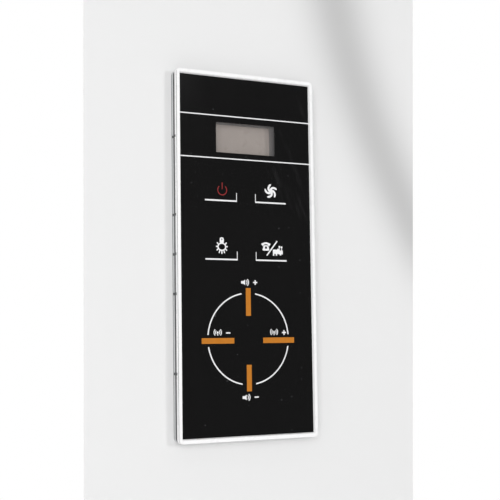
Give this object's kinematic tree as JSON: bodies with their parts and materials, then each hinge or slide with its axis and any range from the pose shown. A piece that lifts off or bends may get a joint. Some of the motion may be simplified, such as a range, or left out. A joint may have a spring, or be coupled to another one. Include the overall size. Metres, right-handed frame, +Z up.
{
  "type": "shower control panel",
  "caption": "Wall control panel for a shower cabin: a clip-on front with a small display and press keys, over a rear case clamped into a wall cut-out.",
  "frame": {"origin": "middle of the panel on the wall's front surface, the plane of the wall seal's back face", "axes": "+X to the right as the user sees it, +Y into the wall, +Z up along the panel's length"},
  "size_m": [0.089, 0.0346, 0.21],
  "materials": {
    "white_plastic": "white moulded plastic, semi-gloss",
    "case_grey": "light grey moulded plastic",
    "black_rubber": "soft black rubber",
    "grey_foam": "closed-cell foam",
    "black_gloss": "glossy black printed sheet",
    "clear_window": "clear window in the sheet",
    "shroud_grey": "grey moulded plastic",
    "display_grey": "unlit grey liquid crystal display",
    "light_guide": "milky light guide",
    "strip_rubber": "conducting elastic strip",
    "white_ink": "white print",
    "orange_ink": "orange print",
    "red_ink": "red print, for the sign on the power key",
    "board_green": "green lacquered circuit board",
    "screw_steel": "zinc-plated steel",
    "switch_black": "black moulded plastic",
    "chip_black": "black moulded chip package",
    "can_metal": "drawn aluminium can",
    "header_plastic": "natural moulded plastic",
    "pin_metal": "tinned contact pins",
    "key_plastic": "white moulded plastic",
    "plunger_plastic": "black moulded plastic",
    "nut_brass": "turned brass",
    "dog_plastic": "glass-filled black plastic"
  },
  "bodies": {
    "wall_case": {"rear_case": "case_grey", "cable_grommet": "black_rubber", "wall_seal": "grey_foam", "clamp_screws": "screw_steel"},
    "front_unit": {"front_bezel": "white_plastic", "clip_tongues": "white_plastic", "board_posts": "white_plastic", "case_seal": "black_rubber", "face_overlay": "black_gloss", "display_lens": "clear_window", "display_shroud": "shroud_grey", "display_glass": "display_grey", "display_backlight": "light_guide", "contact_strips": "strip_rubber", "white_print": "white_ink", "orange_print": "orange_ink", "circuit_board": "board_green", "board_screws": "screw_steel", "switch_bodies": "switch_black", "controller_chip": "chip_black", "crystal": "can_metal", "buzzer": "switch_black", "capacitors": "can_metal", "voltage_regulator": "chip_black", "cable_header": "header_plastic", "header_pins": "pin_metal"},
    "key_power": {"power_key": "key_plastic", "power_plunger": "plunger_plastic"},
    "key_fan": {"fan_key": "key_plastic", "fan_plunger": "plunger_plastic"},
    "key_lamp": {"lamp_key": "key_plastic", "lamp_plunger": "plunger_plastic"},
    "key_phone": {"phone_key": "key_plastic", "phone_plunger": "plunger_plastic"},
    "key_volume_up": {"volume_up_key": "key_plastic", "volume_up_plunger": "plunger_plastic"},
    "key_volume_down": {"volume_down_key": "key_plastic", "volume_down_plunger": "plunger_plastic"},
    "key_tune_down": {"tune_down_key": "key_plastic", "tune_down_plunger": "plunger_plastic"},
    "key_tune_up": {"tune_up_key": "key_plastic", "tune_up_plunger": "plunger_plastic"},
    "nut_upper_left": {"upper_left_clamp_nut": "nut_brass"},
    "dog_upper_left": {"upper_left_clamp_dog": "dog_plastic"},
    "nut_upper_right": {"upper_right_clamp_nut": "nut_brass"},
    "dog_upper_right": {"upper_right_clamp_dog": "dog_plastic"},
    "nut_lower_left": {"lower_left_clamp_nut": "nut_brass"},
    "dog_lower_left": {"lower_left_clamp_dog": "dog_plastic"},
    "nut_lower_right": {"lower_right_clamp_nut": "nut_brass"},
    "dog_lower_right": {"lower_right_clamp_dog": "dog_plastic"}
  },
  "joints": [
    {"name": "front_release", "type": "slide", "parent": "wall_case", "child": "front_unit", "axis": [0, -1, 0], "range_m": [0, 0.045]},
    {"name": "power_press", "type": "slide", "parent": "front_unit", "child": "key_power", "axis": [0, 1, 0], "range_m": [0, 0.0003], "stiffness_N_per_m": 3000, "springref_m": -0.0002},
    {"name": "fan_press", "type": "slide", "parent": "front_unit", "child": "key_fan", "axis": [0, 1, 0], "range_m": [0, 0.0003], "stiffness_N_per_m": 3000, "springref_m": -0.0002},
    {"name": "lamp_press", "type": "slide", "parent": "front_unit", "child": "key_lamp", "axis": [0, 1, 0], "range_m": [0, 0.0003], "stiffness_N_per_m": 3000, "springref_m": -0.0002},
    {"name": "phone_press", "type": "slide", "parent": "front_unit", "child": "key_phone", "axis": [0, 1, 0], "range_m": [0, 0.0003], "stiffness_N_per_m": 3000, "springref_m": -0.0002},
    {"name": "volume_up_press", "type": "slide", "parent": "front_unit", "child": "key_volume_up", "axis": [0, 1, 0], "range_m": [0, 0.0003], "stiffness_N_per_m": 3000, "springref_m": -0.0002},
    {"name": "volume_down_press", "type": "slide", "parent": "front_unit", "child": "key_volume_down", "axis": [0, 1, 0], "range_m": [0, 0.0003], "stiffness_N_per_m": 3000, "springref_m": -0.0002},
    {"name": "tune_down_press", "type": "slide", "parent": "front_unit", "child": "key_tune_down", "axis": [0, 1, 0], "range_m": [0, 0.0003], "stiffness_N_per_m": 3000, "springref_m": -0.0002},
    {"name": "tune_up_press", "type": "slide", "parent": "front_unit", "child": "key_tune_up", "axis": [0, 1, 0], "range_m": [0, 0.0003], "stiffness_N_per_m": 3000, "springref_m": -0.0002},
    {"name": "upper_left_clamp_draw", "type": "slide", "parent": "wall_case", "child": "nut_upper_left", "axis": [0, 1, 0], "range_m": [-0.003, 0.01]},
    {"name": "upper_left_dog_swing", "type": "hinge", "parent": "nut_upper_left", "child": "dog_upper_left", "pos_m": [-0.0335, 0.008, 0.03294], "axis": [0, 1, 0], "range_deg": [0, 90]},
    {"name": "upper_right_clamp_draw", "type": "slide", "parent": "wall_case", "child": "nut_upper_right", "axis": [0, 1, 0], "range_m": [-0.003, 0.01]},
    {"name": "upper_right_dog_swing", "type": "hinge", "parent": "nut_upper_right", "child": "dog_upper_right", "pos_m": [0.0335, 0.008, 0.03294], "axis": [0, -1, 0], "range_deg": [0, 90]},
    {"name": "lower_left_clamp_draw", "type": "slide", "parent": "wall_case", "child": "nut_lower_left", "axis": [0, 1, 0], "range_m": [-0.003, 0.01]},
    {"name": "lower_left_dog_swing", "type": "hinge", "parent": "nut_lower_left", "child": "dog_lower_left", "pos_m": [-0.0335, 0.008, -0.03854], "axis": [0, 1, 0], "range_deg": [0, 90]},
    {"name": "lower_right_clamp_draw", "type": "slide", "parent": "wall_case", "child": "nut_lower_right", "axis": [0, 1, 0], "range_m": [-0.003, 0.01]},
    {"name": "lower_right_dog_swing", "type": "hinge", "parent": "nut_lower_right", "child": "dog_lower_right", "pos_m": [0.0335, 0.008, -0.03854], "axis": [0, -1, 0], "range_deg": [0, 90]}
  ]
}
